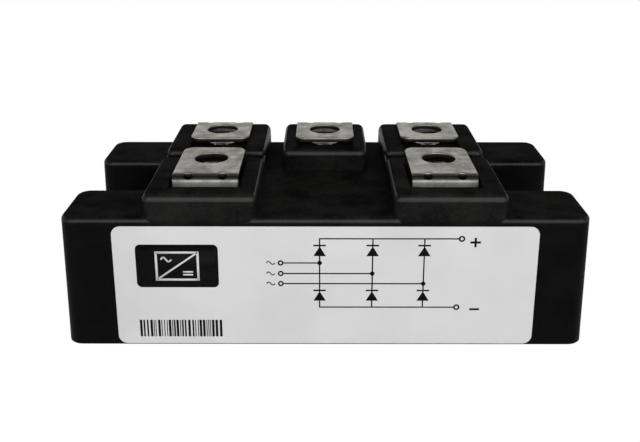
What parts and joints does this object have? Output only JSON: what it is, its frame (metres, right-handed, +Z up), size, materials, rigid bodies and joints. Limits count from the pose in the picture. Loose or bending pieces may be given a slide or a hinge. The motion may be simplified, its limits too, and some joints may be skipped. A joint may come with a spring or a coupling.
{
  "type": "three-phase bridge rectifier module",
  "caption": "Three-phase bridge rectifier module: screw terminals on a black moulded housing, diodes on a ceramic substrate, and a base plate that bolts to a heatsink.",
  "frame": {"origin": "the middle of the base plate's underside, on the heatsink's face", "axes": "+X along the module's length, +Y from the label towards the row of alternating-current terminals, +Z up out of the heatsink"},
  "size_m": [0.094, 0.0461, 0.03],
  "materials": {
    "housing": "black moulding resin with a fine spark-eroded texture",
    "label": "light grey printed film, satin",
    "terminal": "nickel-plated copper, satin, warm grey",
    "nut": "nickel-plated steel, bright",
    "nickel": "nickel-plated copper, satin",
    "copper": "bare copper, satin",
    "ceramic": "white alumina",
    "silicon": "metallised silicon",
    "gel": "clear silicone gel"
  },
  "bodies": {
    "root": {"base_plate": "nickel", "substrate_back_copper": "copper", "substrate_ceramic": "ceramic", "track_positive": "copper", "track_negative": "copper", "track_phase_1": "copper", "track_phase_2": "copper", "track_phase_3": "copper", "diode_upper_1": "silicon", "diode_upper_2": "silicon", "diode_upper_3": "silicon", "diode_lower_1": "silicon", "diode_lower_2": "silicon", "diode_lower_3": "silicon", "clip_upper_1": "copper", "clip_upper_2": "copper", "clip_upper_3": "copper", "clip_lower_1": "copper", "clip_lower_2": "copper", "clip_lower_3": "copper", "terminal_positive": "terminal", "terminal_negative": "terminal", "terminal_ac_1": "terminal", "terminal_ac_2": "terminal", "terminal_ac_3": "terminal", "nut_positive": "nut", "nut_negative": "nut", "nut_ac_1": "nut", "nut_ac_2": "nut", "nut_ac_3": "nut", "gel_fill": "gel", "housing": "housing", "label": "label"}
  },
  "joints": []
}
